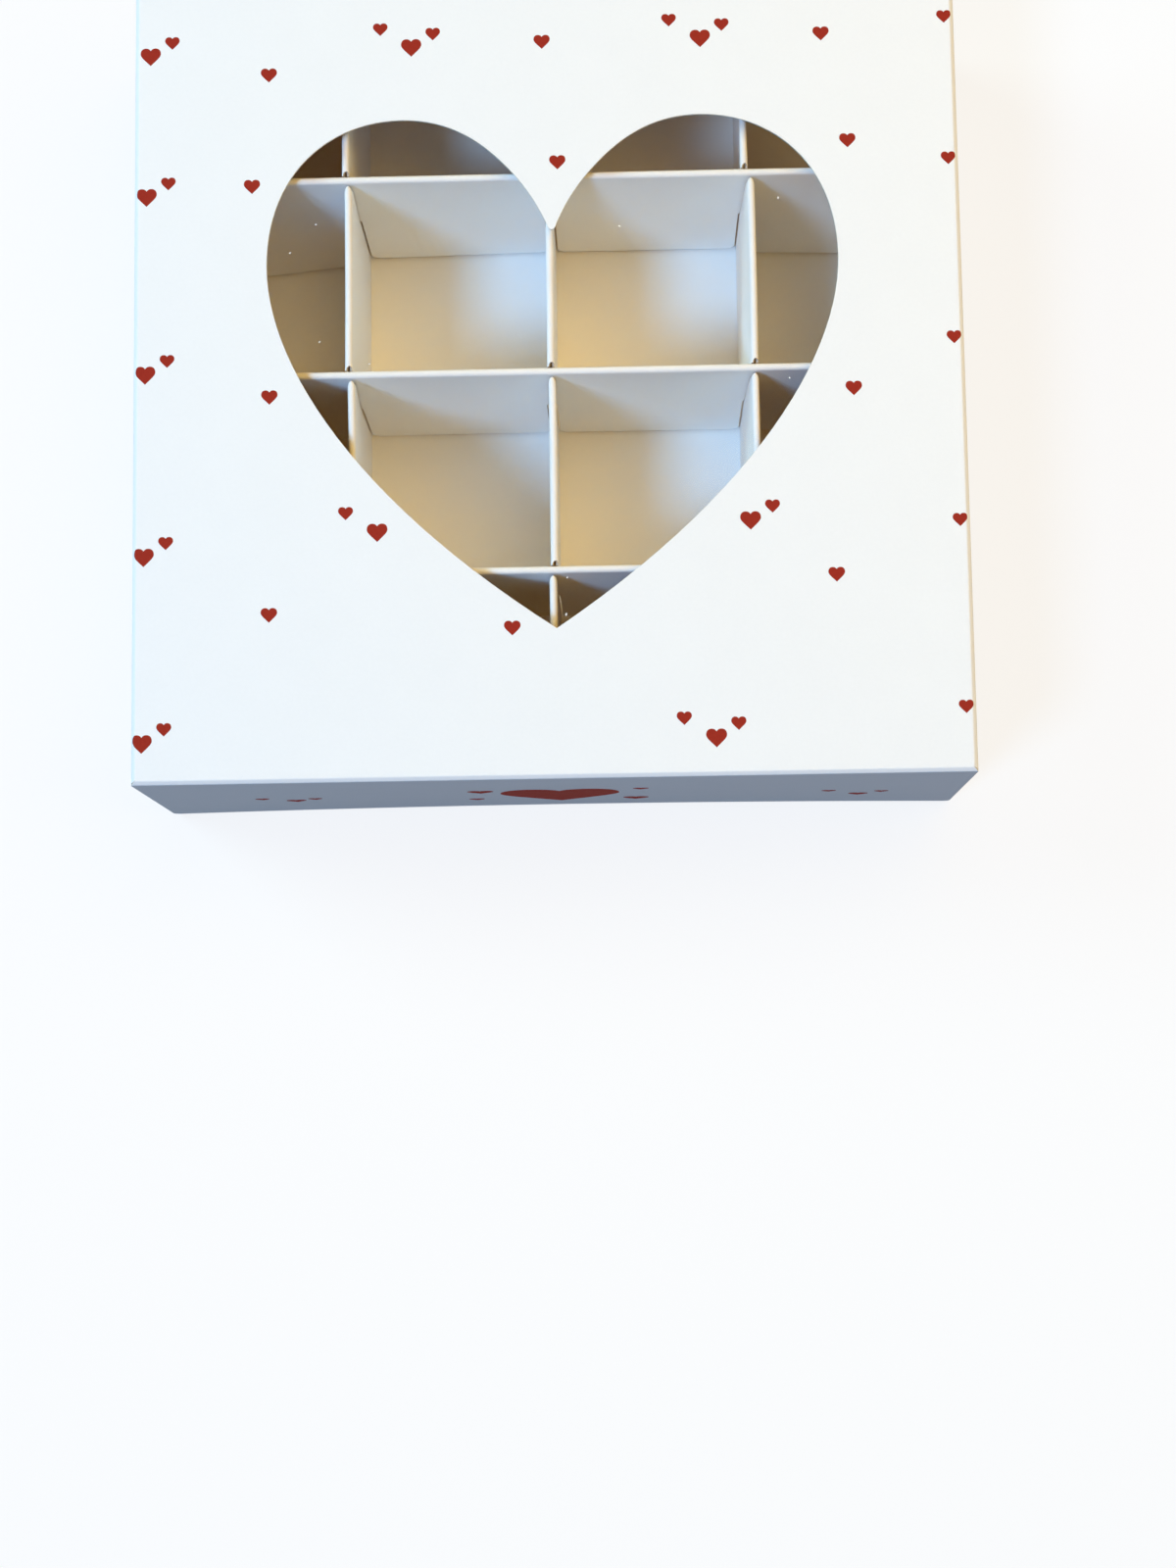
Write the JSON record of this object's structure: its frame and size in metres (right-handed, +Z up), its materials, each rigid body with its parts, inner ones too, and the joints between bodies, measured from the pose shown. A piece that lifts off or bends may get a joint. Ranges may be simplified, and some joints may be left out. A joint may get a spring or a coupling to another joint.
{
  "type": "pick and mix box",
  "caption": "Square white card gift box with a full depth lid, a heart shaped film window and a slotted card grid of cells.",
  "frame": {"origin": "middle of the footprint, on the surface that the box stands on", "axes": "+Z up; +Y towards the back, so -Y is the front wall; +X to the right"},
  "size_m": [0.17, 0.17, 0.0515],
  "materials": {
    "tray_card": "smooth uncoated white folding board",
    "divider_card": "smooth uncoated white folding board",
    "clear_film": "clear glossy film",
    "lid_card": "smooth white board with a light satin coat"
  },
  "bodies": {
    "tray": {"base_tray": "tray_card"},
    "long_dividers": {"long_divider_left": "divider_card", "long_divider_middle": "divider_card", "long_divider_right": "divider_card"},
    "cross_dividers": {"cross_divider_front": "divider_card", "cross_divider_middle": "divider_card", "cross_divider_back": "divider_card"},
    "lid": {"lid": "lid_card", "window_film": "clear_film"}
  },
  "joints": [
    {"name": "long_dividers_lift", "type": "slide", "parent": "tray", "child": "long_dividers", "axis": [0, 0, 1], "range_m": [0, 0.052]},
    {"name": "cross_dividers_lift", "type": "slide", "parent": "long_dividers", "child": "cross_dividers", "axis": [0, 0, 1], "range_m": [0, 0.048]},
    {"name": "lid_lift", "type": "slide", "parent": "cross_dividers", "child": "lid", "axis": [0, 0, 1], "range_m": [0, 0.11]}
  ]
}
